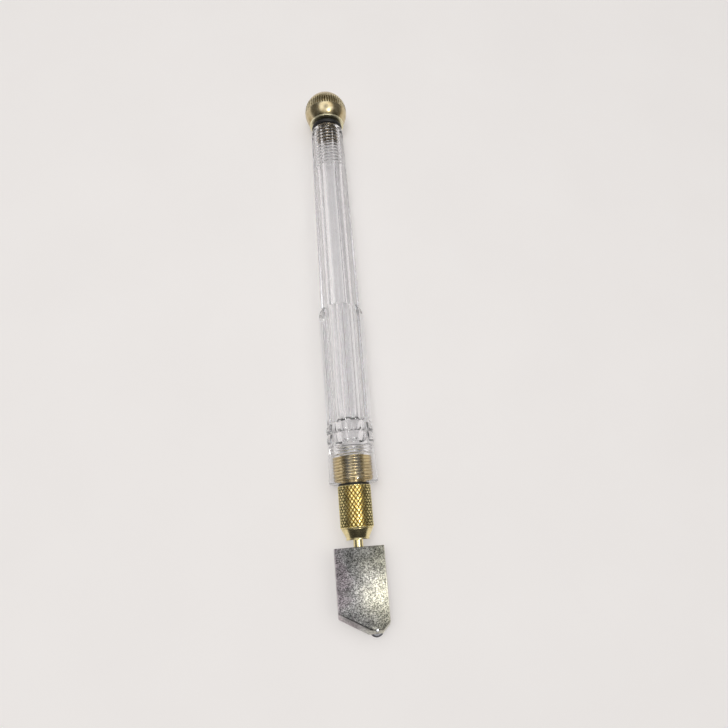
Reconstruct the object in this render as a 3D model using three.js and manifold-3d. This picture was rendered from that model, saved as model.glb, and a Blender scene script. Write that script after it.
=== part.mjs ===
// Oil-fed glass cutter with a clear barrel, lying on a table.
// Millimetres, +Z up. The tool's axis runs along Y: wheel tip towards -Y, ball cap towards +Y.
import * as THREE from "three";
import { ConvexGeometry } from "three/addons/geometries/ConvexGeometry.js";
import { mergeVertices } from "three/addons/utils/BufferGeometryUtils.js";
import Module from "manifold-3d";

const wasm = await Module();
wasm.setup();

// ---------- driving dimensions ----------
// Stations along the tool are distances from the wheel's lowest point.
const LENGTH = 175;
const REST_R = 7.1; // the ball and the barrel's front rim carry the tool on the table
const SIDES = 32; // a multiple of 8, so the eight flats and flutes fall on whole segments
const FINE_SIDES = 24;
const SMALL_SIDES = 16;

const BARREL = { front: 41, rear: 160.4, chamfer: 0.25, chamferLength: 0.4 };
const TAIL = { endR: 4.8, startR: 5.1, startLength: 0.4, flatFrom: 157, cornerR: 5.7, cornerRAtGrip: 6.43 };
const GRIP = { rear: 94.6, fullAt: 91.6, front: 58.4, crestR: 7.0, crestRFront: 6.85, fluteDepth: 0.5 };
const SHOULDER_SWELL = 0.7; // share of the rise from tail to grip that is reached half way along the shoulder
const RINGS = { beads: [56.7, 53.6], waists: [58, 55.1, 52.1], beadR: 6.95, waistR: 6.6 };
const FRONT_R = 6.75;
const BORE = { r: 2.5, tapFront: 145.2, tapR: 3, wideR: 3.4, wideFrom: 60.3, frontTapR: 4, frontTapTo: 52 };
const BORE_TAPERS = { rearTap: 0.5, wide: 1, frontTap: 0.5 }; // lengths of the cones between the bore's steps

const BALL = { r: REST_R, centre: LENGTH - REST_R, rimR: 5.75, rimFrom: 162.85, rimTo: 163.4, arcPoints: 14 };
const CAP_SHANK = { front: 154.5, r: 2.7, chamfer: 0.4, neckR: 3, neckFrom: 160.45 };
const O_RING = { centreR: 4.1, wireR: 1, station: 161.63, sections: 10 };

const COLLAR = { r: 4.7, front: 28.45, rear: 40.4, chamfer: 0.2 };
const CONE = { front: 25.45, frontR: 3.3, rearR: 4.45 };
const STUB = { r: 3.7, rear: 48.8 };
const CHAMBER = { r: 2.45, front: 33 };
const GUIDE_R = 1.46;
const GASKET = { front: 40.48, rear: 40.92, innerR: 3.85, outerR: 4.6 };

const SHANK = { r: 1.37, boreR: 0.8, front: 19.6, rear: 33.7 };
const SHANK_GROOVE = { r: 1, front: 29.35, rear: 31.45 };
const SCREW = { station: 30.9, r: 1, holeR: 1.1, dogR: 0.45, dogTip: 1.15, shoulder: 1.75, outer: 4.35 };
const SEAL = { innerR: 1.5, outerR: 2.38, front: 33.06, rear: 33.6 };
const PLUNGER = { flangeR: 2.2, front: 33.76, flangeRear: 35, stemR: 0.9, rear: 43.5 };
const SPRING = { innerR: 1.5, outerR: 2.1, front: 35.1, rear: 46.6 };
const RETAINER = { r: 2.38, portR: 0.8, front: 46.7, rear: 48.6 };

const HEAD = { halfWidth: 6.9, top: 23.5, halfThickness: 2.8, webHalf: 0.9, tip: 0.95, faceTip: 2.1 };
const HEAD_LEFT = { outer: 5.3, face: 7, tipX: 0.9, faceTipX: 1.89 };
const HEAD_RIGHT = { outer: 3.1, face: 4.1, tipX: 4.75, faceTipX: 4.9 };
const WHEEL = { r: 2, boreR: 0.55, halfWidth: 0.55, hubR: 1.55, x: 3.2, station: 2 };
const SLOT = { halfGap: 0.68, left: 1, right: 5.5, rear: 4.4 };
const AXLE = { r: 0.45, holeR: 0.5, halfLength: 1.95 };
const POCKET = { r: 1.46, front: 19.5 };
const WICK = { r: 0.6, rear: 33.3, straightTo: 21, sides: 8, steps: 22 };
const WICK_BEND = [[0.3, 18], [1.25, 12.5], [2.3, 7.5], [2.75, 5]]; // [across, station]
const CHANNEL = { r: 0.95, rear: 20.8, end: [2.95, 3.8], steps: 12 };
const OVERRUN = 1; // how far a cutter reaches past what it cuts

const AXIS_Z = REST_R * Math.cos(Math.PI / SIDES);
const y = (station) => station - LENGTH / 2;

// ---------- materials ----------
const material = (color, roughness, metalness, opacity = 1) =>
  new THREE.MeshStandardMaterial({ color, roughness, metalness, opacity, transparent: opacity < 1 });
const MATERIALS = {
  acrylic: material(0xe9ecef, 0.08, 0, 0.35),
  brass: material(0xb8963f, 0.28, 1),
  plated: material(0xb9b8b2, 0.38, 1),
  steel: material(0x9a9ca0, 0.3, 1),
  carbide: material(0x3d3d42, 0.35, 1),
  rubber: material(0x1a1a1a, 0.7, 0),
  cotton: material(0xe8e2d2, 0.95, 0),
};

// ---------- helpers ----------
const group = new THREE.Group();

function add(name, geometry, slot) {
  const mesh = new THREE.Mesh(geometry, MATERIALS[slot]);
  mesh.name = name;
  mesh.position.z = AXIS_Z;
  group.add(mesh);
  return mesh;
}

// A turned piece: [radius, station] points round its section, turned about the tool's axis.
function turned(section, sides = SIDES) {
  const points = section.map(([r, station]) => new THREE.Vector2(r, y(station)));
  if (THREE.ShapeUtils.area(points) < 0) points.reverse();
  points.push(points[0].clone());
  return new THREE.LatheGeometry(points, sides, Math.PI / sides);
}

const ring = (innerR, outerR, front, rear, sides) =>
  turned([[innerR, front], [outerR, front], [outerR, rear], [innerR, rear]], sides);

const rod = (sections, sides) => turned([[0, sections[0][1]], ...sections, [0, sections.at(-1)[1]]], sides);

function toSolid(geometry) {
  const bare = geometry.clone();
  bare.deleteAttribute("normal");
  bare.deleteAttribute("uv");
  const merged = mergeVertices(bare, 1e-5);
  return new wasm.Manifold(new wasm.Mesh({
    numProp: 3,
    vertProperties: new Float32Array(merged.attributes.position.array),
    triVerts: new Uint32Array(merged.index.array),
  }));
}

function fromSolid(solid) {
  const mesh = solid.getMesh();
  const geometry = new THREE.BufferGeometry();
  geometry.setAttribute("position", new THREE.BufferAttribute(new Float32Array(mesh.vertProperties), 3));
  geometry.setIndex(new THREE.BufferAttribute(new Uint32Array(mesh.triVerts), 1));
  geometry.computeVertexNormals();
  return geometry;
}

const cut = (geometry, ...cutters) =>
  fromSolid(cutters.reduce((solid, cutter) => solid.subtract(toSolid(cutter)), toSolid(geometry)));

// A cylinder standing along Z at a place on the tool, between two heights from the axis.
function upright(r, x, station, low, high, sides) {
  const cylinder = new THREE.CylinderGeometry(r, r, high - low, sides);
  cylinder.rotateX(Math.PI / 2);
  return cylinder.translate(x, y(station), (low + high) / 2);
}

// ---------- clear barrel: eight-sided tail, fluted grip, two beads, tapped front ----------
const lerp = THREE.MathUtils.lerp;
const FLAT = Math.PI / 4;
const GROOVE_ANGLE = -Math.PI / SIDES; // the flats' middles and the flutes' bottoms

// How far a point at this angle lies from the middle of its flat, from -1/2 to 1/2 of a flat.
const acrossFlat = (angle) => {
  const turn = (angle - GROOVE_ANGLE) / FLAT;
  return turn - Math.round(turn);
};

function barrelScale(station, angle) {
  const across = acrossFlat(angle);
  const octagon = Math.cos(FLAT / 2) / Math.cos(across * FLAT);
  const flute = 1 - (GRIP.fluteDepth / GRIP.crestR) * Math.cos(across * Math.PI) ** 2;
  if (station >= GRIP.rear) {
    const share = THREE.MathUtils.clamp((BARREL.rear - station) / (BARREL.rear - TAIL.flatFrom), 0, 1);
    return lerp(1, octagon, share);
  }
  if (station >= GRIP.front) {
    const share = THREE.MathUtils.clamp((GRIP.rear - station) / (GRIP.rear - GRIP.fullAt), 0, 1);
    return lerp(octagon, flute, share);
  }
  return 1;
}

function barrelGeometry() {
  const outline = [
    [TAIL.endR, BARREL.rear],
    [TAIL.startR, BARREL.rear - TAIL.startLength],
    [TAIL.cornerR, TAIL.flatFrom],
    [TAIL.cornerRAtGrip, GRIP.rear],
    [lerp(TAIL.cornerRAtGrip, GRIP.crestR, SHOULDER_SWELL), (GRIP.rear + GRIP.fullAt) / 2],
    [GRIP.crestR, GRIP.fullAt],
    [GRIP.crestRFront, GRIP.front],
    [RINGS.waistR, RINGS.waists[0]],
    [RINGS.beadR, RINGS.beads[0]],
    [RINGS.waistR, RINGS.waists[1]],
    [RINGS.beadR, RINGS.beads[1]],
    [FRONT_R, RINGS.waists[2]],
    [REST_R, BARREL.front + BARREL.chamferLength],
    [REST_R - BARREL.chamfer, BARREL.front],
  ];
  const bore = [
    [BORE.frontTapR, BARREL.front],
    [BORE.frontTapR, BORE.frontTapTo],
    [BORE.wideR, BORE.frontTapTo + BORE_TAPERS.frontTap],
    [BORE.wideR, BORE.wideFrom - BORE_TAPERS.wide],
    [BORE.r, BORE.wideFrom],
    [BORE.r, BORE.tapFront - BORE_TAPERS.rearTap],
    [BORE.tapR, BORE.tapFront],
    [BORE.tapR, BARREL.rear],
  ];
  const geometry = turned([...outline, ...bore]);
  const place = geometry.attributes.position;
  for (let i = 0; i < place.count; i++) {
    const [px, py, pz] = [place.getX(i), place.getY(i), place.getZ(i)];
    if (Math.hypot(px, pz) < TAIL.endR) continue; // the bore stays round
    const scale = barrelScale(py + LENGTH / 2, Math.atan2(px, pz));
    place.setXYZ(i, px * scale, py, pz * scale);
  }
  return geometry;
}

add("barrel", barrelGeometry(), "acrylic");

// ---------- ball cap and its seal ----------
function ballArc() {
  const start = Math.acos((BALL.centre - BALL.rimTo) / BALL.r);
  return Array.from({ length: BALL.arcPoints }, (_, i) => {
    const angle = lerp(start, Math.PI, i / (BALL.arcPoints - 1));
    return [BALL.r * Math.sin(angle), BALL.centre - BALL.r * Math.cos(angle)];
  }).slice(0, -1);
}

add("end_cap", turned([
  [0, CAP_SHANK.front],
  [CAP_SHANK.r - CAP_SHANK.chamfer, CAP_SHANK.front],
  [CAP_SHANK.r, CAP_SHANK.front + CAP_SHANK.chamfer],
  [CAP_SHANK.r, CAP_SHANK.neckFrom],
  [CAP_SHANK.neckR, CAP_SHANK.neckFrom],
  [CAP_SHANK.neckR, BALL.rimFrom],
  [BALL.rimR, BALL.rimFrom],
  [BALL.rimR, BALL.rimTo],
  ...ballArc(),
  [0, LENGTH],
]), "brass");

const wireSection = Array.from({ length: O_RING.sections }, (_, i) => {
  const angle = (i * 2 * Math.PI) / O_RING.sections;
  return [O_RING.centreR + O_RING.wireR * Math.cos(angle), O_RING.station + O_RING.wireR * Math.sin(angle)];
});
add("cap_o_ring", turned(wireSection, FINE_SIDES), "rubber");

// ---------- brass head holder, screwed into the barrel's front ----------
const holderBlank = turned([
  [GUIDE_R, CONE.front],
  [CONE.frontR, CONE.front],
  [CONE.rearR, COLLAR.front],
  [COLLAR.r - COLLAR.chamfer, COLLAR.front],
  [COLLAR.r, COLLAR.front + COLLAR.chamfer],
  [COLLAR.r, COLLAR.rear - COLLAR.chamfer],
  [COLLAR.r - COLLAR.chamfer, COLLAR.rear],
  [STUB.r, COLLAR.rear],
  [STUB.r, STUB.rear],
  [CHAMBER.r, STUB.rear],
  [CHAMBER.r, CHAMBER.front],
  [GUIDE_R, CHAMBER.front],
], SIDES);
const screwHole = upright(SCREW.holeR, 0, SCREW.station, -COLLAR.r - OVERRUN, -GUIDE_R / 2, SMALL_SIDES);
add("head_holder", cut(holderBlank, screwHole), "brass");
add("holder_gasket", ring(GASKET.innerR, GASKET.outerR, GASKET.front, GASKET.rear), "rubber");

const screwSection = [
  [0, -SCREW.outer],
  [SCREW.r, -SCREW.outer],
  [SCREW.r, -SCREW.shoulder],
  [SCREW.dogR, -SCREW.shoulder],
  [SCREW.dogR, -SCREW.dogTip],
  [0, -SCREW.dogTip],
].map(([r, height]) => new THREE.Vector2(r, height));
const screw = new THREE.LatheGeometry(screwSection, SMALL_SIDES);
screw.rotateX(Math.PI / 2);
screw.translate(0, y(SCREW.station), 0);
add("retaining_screw", screw, "steel");

// ---------- oil valve inside the holder ----------
add("valve_seal", ring(SEAL.innerR, SEAL.outerR, SEAL.front, SEAL.rear, FINE_SIDES), "rubber");
add("valve_plunger", rod([
  [PLUNGER.flangeR, PLUNGER.front],
  [PLUNGER.flangeR, PLUNGER.flangeRear],
  [PLUNGER.stemR, PLUNGER.flangeRear],
  [PLUNGER.stemR, PLUNGER.rear],
], FINE_SIDES), "brass");
add("valve_spring", ring(SPRING.innerR, SPRING.outerR, SPRING.front, SPRING.rear, FINE_SIDES), "steel");
add("spring_retainer", ring(RETAINER.portR, RETAINER.r, RETAINER.front, RETAINER.rear, FINE_SIDES), "brass");

// ---------- cutter head, its hollow shank and the wick ----------
add("head_shank", turned([
  [SHANK.boreR, SHANK.front],
  [SHANK.r, SHANK.front],
  [SHANK.r, SHANK_GROOVE.front],
  [SHANK_GROOVE.r, SHANK_GROOVE.front],
  [SHANK_GROOVE.r, SHANK_GROOVE.rear],
  [SHANK.r, SHANK_GROOVE.rear],
  [SHANK.r, SHANK.rear],
  [SHANK.boreR, SHANK.rear],
], FINE_SIDES), "brass");

const route = (points) =>
  new THREE.CatmullRomCurve3(points.map(([x, station]) => new THREE.Vector3(x, y(station), 0)));
const wickMiddle = (WICK.rear + WICK.straightTo) / 2;
const wickRoute = route([[0, WICK.rear], [0, wickMiddle], [0, WICK.straightTo], ...WICK_BEND]);
const channelRoute = route([[0, CHANNEL.rear], ...WICK_BEND, CHANNEL.end]);

function along(path, r, steps) {
  const circle = new THREE.Shape().absarc(0, 0, r, 0, 2 * Math.PI, false);
  return new THREE.ExtrudeGeometry(circle, {
    steps,
    curveSegments: WICK.sides,
    bevelEnabled: false,
    extrudePath: path,
  });
}

add("oil_wick", along(wickRoute, WICK.r, WICK.steps), "cotton");

function headOutline(left, right, tip, height) {
  const { halfWidth, top } = HEAD;
  return [
    [-halfWidth, top],
    [-halfWidth, left[0]],
    [left[1], tip],
    [right[1], tip],
    [halfWidth, right[0]],
    [halfWidth, top],
  ].map(([x, station]) => new THREE.Vector3(x, y(station), height));
}

function headGeometry() {
  const face = [[HEAD_LEFT.face, HEAD_LEFT.faceTipX], [HEAD_RIGHT.face, HEAD_RIGHT.faceTipX], HEAD.faceTip];
  const web = [[HEAD_LEFT.outer, HEAD_LEFT.tipX], [HEAD_RIGHT.outer, HEAD_RIGHT.tipX], HEAD.tip];
  const block = new ConvexGeometry([
    ...headOutline(...face, HEAD.halfThickness),
    ...headOutline(...web, HEAD.webHalf),
    ...headOutline(...web, -HEAD.webHalf),
    ...headOutline(...face, -HEAD.halfThickness),
  ]);
  const pocket = rod([[POCKET.r, POCKET.front], [POCKET.r, HEAD.top + OVERRUN]], FINE_SIDES);
  const slotLength = SLOT.rear + OVERRUN;
  const slot = new THREE.BoxGeometry(SLOT.right - SLOT.left, slotLength, 2 * SLOT.halfGap);
  slot.translate((SLOT.left + SLOT.right) / 2, y(SLOT.rear - slotLength / 2), 0);
  const reach = HEAD.halfThickness + OVERRUN;
  const pinHole = upright(AXLE.holeR, WHEEL.x, WHEEL.station, -reach, reach, SMALL_SIDES);
  return cut(block, pocket, slot, pinHole, along(channelRoute, CHANNEL.r, CHANNEL.steps));
}

add("cutter_head", headGeometry(), "plated");
const axle = upright(AXLE.r, WHEEL.x, WHEEL.station, -AXLE.halfLength, AXLE.halfLength, SMALL_SIDES);
add("wheel_axle", axle, "steel");

// ---------- cutting wheel: a bevelled disc, its edge in the middle of its width ----------
const wheelSection = [
  [WHEEL.boreR, -WHEEL.halfWidth],
  [WHEEL.hubR, -WHEEL.halfWidth],
  [WHEEL.r, 0],
  [WHEEL.hubR, WHEEL.halfWidth],
  [WHEEL.boreR, WHEEL.halfWidth],
  [WHEEL.boreR, -WHEEL.halfWidth],
].map(([r, height]) => new THREE.Vector2(r, height));
const wheel = new THREE.LatheGeometry(wheelSection, FINE_SIDES);
wheel.rotateX(Math.PI / 2);
wheel.translate(WHEEL.x, y(WHEEL.station), 0);
add("cutting_wheel", wheel, "carbide");

export default group;
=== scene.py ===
"""Looks of an oil-fed glass cutter with a clear barrel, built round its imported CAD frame.

Lengths are millimetres until a mesh is written. A station is a distance along the tool from the
wheel's lowest point, and an angle round the tool is counted from +Z towards +X.
"""
import math

import bmesh
import bpy
import numpy as np
from mathutils import Matrix, Vector


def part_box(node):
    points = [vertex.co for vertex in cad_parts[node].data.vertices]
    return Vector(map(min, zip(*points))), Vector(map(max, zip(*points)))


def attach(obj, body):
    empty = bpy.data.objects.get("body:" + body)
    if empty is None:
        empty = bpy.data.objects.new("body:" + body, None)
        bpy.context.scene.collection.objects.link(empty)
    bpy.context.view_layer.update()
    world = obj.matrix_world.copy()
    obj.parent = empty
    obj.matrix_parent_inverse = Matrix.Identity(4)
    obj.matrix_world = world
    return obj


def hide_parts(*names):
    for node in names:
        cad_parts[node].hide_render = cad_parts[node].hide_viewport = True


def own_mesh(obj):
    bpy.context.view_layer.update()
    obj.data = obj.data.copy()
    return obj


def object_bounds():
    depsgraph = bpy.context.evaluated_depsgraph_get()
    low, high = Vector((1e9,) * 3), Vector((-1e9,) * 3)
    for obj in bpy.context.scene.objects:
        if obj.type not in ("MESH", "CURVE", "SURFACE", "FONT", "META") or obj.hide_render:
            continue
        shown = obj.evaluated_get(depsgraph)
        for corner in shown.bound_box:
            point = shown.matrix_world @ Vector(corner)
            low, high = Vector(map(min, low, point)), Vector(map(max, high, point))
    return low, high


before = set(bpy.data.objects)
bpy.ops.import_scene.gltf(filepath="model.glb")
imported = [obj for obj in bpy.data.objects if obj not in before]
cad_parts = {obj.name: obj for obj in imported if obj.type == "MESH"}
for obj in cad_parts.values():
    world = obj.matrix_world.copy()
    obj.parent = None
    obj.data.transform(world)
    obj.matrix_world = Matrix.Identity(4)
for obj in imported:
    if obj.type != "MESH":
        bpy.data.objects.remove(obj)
cad_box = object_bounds()

MM = 0.001
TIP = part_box("cutting_wheel")[0].y
AXIS_Z = (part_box("end_cap")[0].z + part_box("end_cap")[1].z) / 2
TURN = 2 * math.pi


def span(node):
    """The stations of a CAD node's front and rear ends."""
    low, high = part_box(node)
    return (low.y - TIP) / MM, (high.y - TIP) / MM


# ---------- driving dimensions ----------
BARREL_FRONT, BARREL_REAR = span("barrel")
CAP_FRONT, CAP_REAR = span("end_cap")
HOLDER_FRONT, HOLDER_REAR = span("head_holder")
HEAD_FRONT, HEAD_TOP = span("cutter_head")
SHANK_FRONT, SHANK_REAR = span("head_shank")
REST_R = AXIS_Z / MM

# the barrel: an eight-sided tail, a fluted grip and two beads in front of it
FLAT = TURN / 8
GROOVE_ANGLE = -math.pi / 32
CORNER_POWER = 90
TAIL_END_R = 4.8
TAIL_CORNER_R, TAIL_CORNER_R_AT_GRIP = 5.7, 6.43
TAIL_FLAT_FROM = BARREL_REAR - 3.4
TAIL_TAPER = 0.0116
GRIP_REAR, GRIP_FULL = 94.6, 91.6
SHOULDER_DROP = 1.3
FLUTE_RUN_OUT = (58.0, 59.2)
GRIP_CREST_R, GRIP_CREST_R_FRONT = 7.0, 6.85
FLUTE_DEPTH, BEAD_FLUTE_DEPTH = 0.5, 0.35
FLUTE_HALF_WIDTH = 0.1875  # as a share of a flat
WAISTS = (58.0, 55.1, 52.1)
BEAD_R, WAIST_R, FRONT_R = 6.95, 6.6, 6.75
BEAD_ROUNDNESS = 0.6
BORE_R, WIDE_R, WIDE_FROM = 2.5, 3.4, 59.5
REAR_TAP_TO, FRONT_TAP_TO = 145.2, 52.0

# the screw threads at the barrel's two ends
REAR_PITCH, REAR_THREAD_R, REAR_THREAD_H = 1.2, 2.45, 0.4
FRONT_PITCH, FRONT_THREAD_R, FRONT_THREAD_H = 0.85, 3.68, 0.13
FREE_THREAD_H = 0.4  # of the front tap, behind the stub's end
# The front thread is a wet joint, so the brass is pressed this far into the plastic and shows through it.
THREAD_GAP = -0.015
REAR_GAP = 0.12
TAP_LEAD, TAP_RUN_OUT = 0.3, 0.2
ROWS_PER_PITCH = 8

# the ball cap
BAND_FROM, BAND_TO = 167.2, 170.9
CAP_TEETH, CAP_TOOTH_H = 52, 0.16
RIM_R, RIM_FROM, RIM_TO = 5.75, 162.85, 163.4
NECK_R = 3.0
O_RING_R, O_RING_SQUEEZE = 4.1, 0.05

# the holder, its collar and what it holds
COLLAR_R, COLLAR_FRONT, COLLAR_REAR = 4.7, 28.45, 40.4
KNURL_STARTS, KNURL_LEAD, KNURL_DEPTH, KNURL_FLAT = 26, 1.55, 0.3, 2.3
KNURL_END = 0.25  # the plain length at each end of the collar
ROWS_PER_LEAD = 16
CONE_R_FRONT, CONE_R_REAR = 3.3, 4.45
GUIDE_R, CHAMBER_R, CHAMBER_FRONT = 1.46, 2.45, 33.0
GASKET_INNER_R, GASKET_OUTER_R = 3.95, 4.42
SCREW_R, SCREW_HOLE_R, DOG_R, DOG_FROM = 0.95, 1.1, 0.45, -1.75
SCREW_PITCH, SCREW_THREAD_H = 0.4, 0.13
SEAL_INNER_R, CHAMBER_FIT_R, PORT_R = 1.5, 2.38, 0.8
PLUNGER_R, STEM_R = 2.2, 0.9
FLANGE_LENGTH, FILLET_TO = 1.24, 1.6  # from the plunger's front
SPRING_R, SPRING_WIRE, SPRING_TURNS, CLOSED_TURNS = 1.8, 0.26, 7.5, 0.8

# the head, its shank, wick and wheel
SHANK_R, SHANK_BORE_R = 1.37, 0.8
SHANK_GROOVE_R, SHANK_GROOVE_FRONT, SHANK_GROOVE_REAR = 1.0, 29.35, 31.45
HEAD_HALF_W, HEAD_HALF_T, HEAD_WEB = 6.9, 2.8, 0.9
# The outline of a broad side and of the web: on the left and the right, the station where the slope
# starts and the offset where it ends, and then the station of the tip.
HEAD_FACE = ((7.0, 1.89), (4.1, 4.9), 2.1)
HEAD_WEB_FACE = ((5.3, 0.9), (3.1, 4.75), HEAD_FRONT)
HEAD_EDGE = 0.22
WHEEL_SLOT = ((1.0, -1, -0.68), (5.5, 4.4, 0.68))  # two corners (offset across, station, height)
POCKET_R, POCKET_MOUTH_R = 1.46, 1.75
OIL_WAY_R = 0.95
# routes of (offset across, station)
OIL_WAY = ((0, 20.8), (0.05, 19.5), (0.3, 18), (0.75, 15), (1.25, 12.5), (1.8, 10), (2.3, 7.5),
           (2.75, 5), (2.95, 3.8))
WICK_ROUTE = ((0, SHANK_REAR - 0.4), (0, 30), (0, 27), (0, 24), (0, 21), (0.3, 18), (0.75, 15),
              (1.25, 12.5), (1.8, 10), (2.3, 7.5), (2.75, 5))
STRANDS, STRAND_R, STRAND_OFFSET, STRAND_TWIST = 3, 0.3, 0.29, 0.55
WHEEL_R, WHEEL_X, WHEEL_STATION = 2.0, 3.2, 2.0
WHEEL_BORE_R, WHEEL_HUB_R, WHEEL_HALF = 0.55, 1.5, 0.55
AXLE_R, AXLE_HOLE_R = 0.45, 0.5


# ---------- profiles ----------
def rounded(points, radius=0.12, steps=3, closed=True):
    """The outline with each corner off the axis rounded by a short curve."""
    out = []
    count = len(points)
    for i, corner in enumerate(points):
        here = np.array(corner, float)
        ends = not closed and i in (0, count - 1)
        if ends or here[0] < 1e-6:
            out.append(tuple(here))
            continue
        before = np.array(points[i - 1], float) - here
        after = np.array(points[(i + 1) % count], float) - here
        start = here + before / np.linalg.norm(before) * min(radius, 0.4 * np.linalg.norm(before))
        end = here + after / np.linalg.norm(after) * min(radius, 0.4 * np.linalg.norm(after))
        for k in range(steps + 1):
            s = k / steps
            out.append(tuple((1 - s) ** 2 * start + 2 * s * (1 - s) * here + s * s * end))
    return out


def divided(points, longest, closed=True):
    """The outline with extra points, so that no step is longer than this."""
    out = []
    last = len(points) if closed else len(points) - 1
    for i in range(last):
        a = np.array(points[i], float)
        b = np.array(points[(i + 1) % len(points)], float)
        parts = max(1, math.ceil(np.linalg.norm(b - a) / longest))
        out += [tuple(a + (b - a) * k / parts) for k in range(parts)]
    if not closed:
        out.append(tuple(points[-1]))
    return out


def arc(centre, radii, start, end, steps):
    """Points on an arc of (radius, station), its angles in degrees from +radius towards +station."""
    out = []
    for k in range(steps + 1):
        angle = math.radians(start + (end - start) * k / steps)
        out.append((centre[0] + radii[0] * math.cos(angle), centre[1] + radii[1] * math.sin(angle)))
    return out


def smooth_step(value, low, high):
    s = np.clip((value - low) / (high - low), 0, 1)
    return s * s * (3 - 2 * s)


def between(station, front, rear, run_out):
    """1 between two stations and 0 beyond them, with a smooth run at each end."""
    return smooth_step(station, front, front + run_out) * (1 - smooth_step(station, rear - run_out, rear))


def saw(phase):
    """A wave from 0 to 1 and back with straight sides, once for each whole phase."""
    return np.abs(2 * (phase - np.floor(phase)) - 1)


def thread(station, angle, pitch, front, rear):
    """Height of a right-hand thread from 0 to 1, with flat roots and crests, run out at both ends."""
    steepness, root, run_out = 1.8, 0.25, 0.5
    wave = np.clip(steepness * saw(station / pitch - angle / TURN) - root, 0, 1)
    return wave * between(station, front, rear, run_out)


# ---------- mesh making ----------
def new_object(name, mesh, sharp=35):
    mesh.polygons.foreach_set("use_smooth", [True] * len(mesh.polygons))
    mesh.set_sharp_from_angle(angle=math.radians(sharp))
    obj = bpy.data.objects.new(name, mesh)
    bpy.context.scene.collection.objects.link(obj)
    return obj


def mesh_from_rows(name, rows, lifts, closed):
    """A closed surface through rings of points. A ring of one point is a pole."""
    starts = np.cumsum([0] + [len(row) for row in rows])
    faces = []
    pairs = [(i, i + 1) for i in range(len(rows) - 1)]
    if closed:
        pairs.append((len(rows) - 1, 0))
    for i, k in pairs:
        n, m = len(rows[i]), len(rows[k])
        a, b = starts[i], starts[k]
        for j in range(max(n, m)):
            nxt = (j + 1) % max(n, m)
            if n == 1:
                faces.append((a, b + nxt, b + j))
            elif m == 1:
                faces.append((a + j, a + nxt, b))
            else:
                faces.append((a + j, a + nxt, b + nxt, b + j))
    mesh = bpy.data.meshes.new(name)
    mesh.from_pydata(np.concatenate(rows).tolist(), [], [tuple(int(v) for v in f) for f in faces])
    lift = mesh.attributes.new("lift", "FLOAT", "POINT")
    lift.data.foreach_set("value", np.concatenate(lifts))
    check = bmesh.new()
    check.from_mesh(mesh)
    if check.calc_volume(signed=True) < 0:
        bmesh.ops.reverse_faces(check, faces=check.faces)
        check.to_mesh(mesh)
    check.free()
    mesh.update()
    return mesh


def turned_mesh(name, points, sides, shape=None, closed=True):
    """The outline turned about the tool's axis. shape(radius, station, angle) gives the shaped radius."""
    angles = np.arange(sides) * TURN / sides
    rows, lifts = [], []
    for r, station in points:
        if r < 1e-6:
            rows.append(np.array([[0.0, TIP + station * MM, AXIS_Z]]))
            lifts.append(np.zeros(1))
            continue
        radius = np.full(sides, float(r))
        if shape is not None:
            radius = shape(radius, np.full(sides, float(station)), angles)
        rows.append(np.stack([
            radius * np.sin(angles) * MM,
            np.full(sides, TIP + station * MM),
            AXIS_Z + radius * np.cos(angles) * MM,
        ], axis=1))
        lifts.append(radius - r)
    return mesh_from_rows(name, rows, lifts, closed)


def turned(name, points, sides, shape=None, closed=True, sharp=35):
    return new_object(name, turned_mesh(name, points, sides, shape, closed), sharp)


def tube_along(name, path, radius, sides=10, up=Vector((0, 0, 1))):
    """A round wire with closed ends along a list of points, in metres."""
    rows, lifts = [], []
    path = [Vector(p) for p in path]
    for i, p in enumerate(path):
        ahead = (path[min(i + 1, len(path) - 1)] - path[max(i - 1, 0)]).normalized()
        side = ahead.cross(up).normalized()
        top = side.cross(ahead)
        ring = [p + radius * (math.cos(k * TURN / sides) * side + math.sin(k * TURN / sides) * top)
                for k in range(sides)]
        if i == 0:
            rows.append(np.array([p]))
            lifts.append(np.zeros(1))
        rows.append(np.array(ring))
        lifts.append(np.zeros(sides))
    rows.append(np.array([path[-1]]))
    lifts.append(np.zeros(1))
    return mesh_from_rows(name, rows, lifts, closed=False)


def block(name, low, high):
    """A plain box between two corners (x, station, height from the axis), for cutting."""
    mesh = bpy.data.meshes.new(name)
    bm = bmesh.new()
    bmesh.ops.create_cube(bm, size=1)
    bm.to_mesh(mesh)
    bm.free()
    obj = bpy.data.objects.new(name, mesh)
    bpy.context.scene.collection.objects.link(obj)
    centre = [(a + b) / 2 for a, b in zip(low, high)]
    size = [(b - a) * MM for a, b in zip(low, high)]
    obj.matrix_world = Matrix.Translation(at(*centre)) @ Matrix.Diagonal((*size, 1))
    return obj


def at(x, station, height=0.0):
    """A point in metres from its offset across, its station and its height from the axis."""
    return Vector((x * MM, TIP + station * MM, AXIS_Z + height * MM))


def upright(name, profile, x, station, sides=32, shape=None):
    """An outline of (radius, height) turned about a line along Z at a place on the tool."""
    angles = np.arange(sides) * TURN / sides
    rows, lifts = [], []
    for r, height in profile:
        if r < 1e-6:
            rows.append(np.array([at(x, station, height)]))
            lifts.append(np.zeros(1))
            continue
        radius = np.full(sides, float(r))
        if shape is not None:
            radius = shape(radius, np.full(sides, float(height)), angles)
        rows.append(np.array([at(x + q * math.cos(a), station + q * math.sin(a), height)
                              for q, a in zip(radius, angles)]))
        lifts.append(radius - r)
    closed = profile[0][0] > 1e-6
    return mesh_from_rows(name, rows, lifts, closed)


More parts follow.
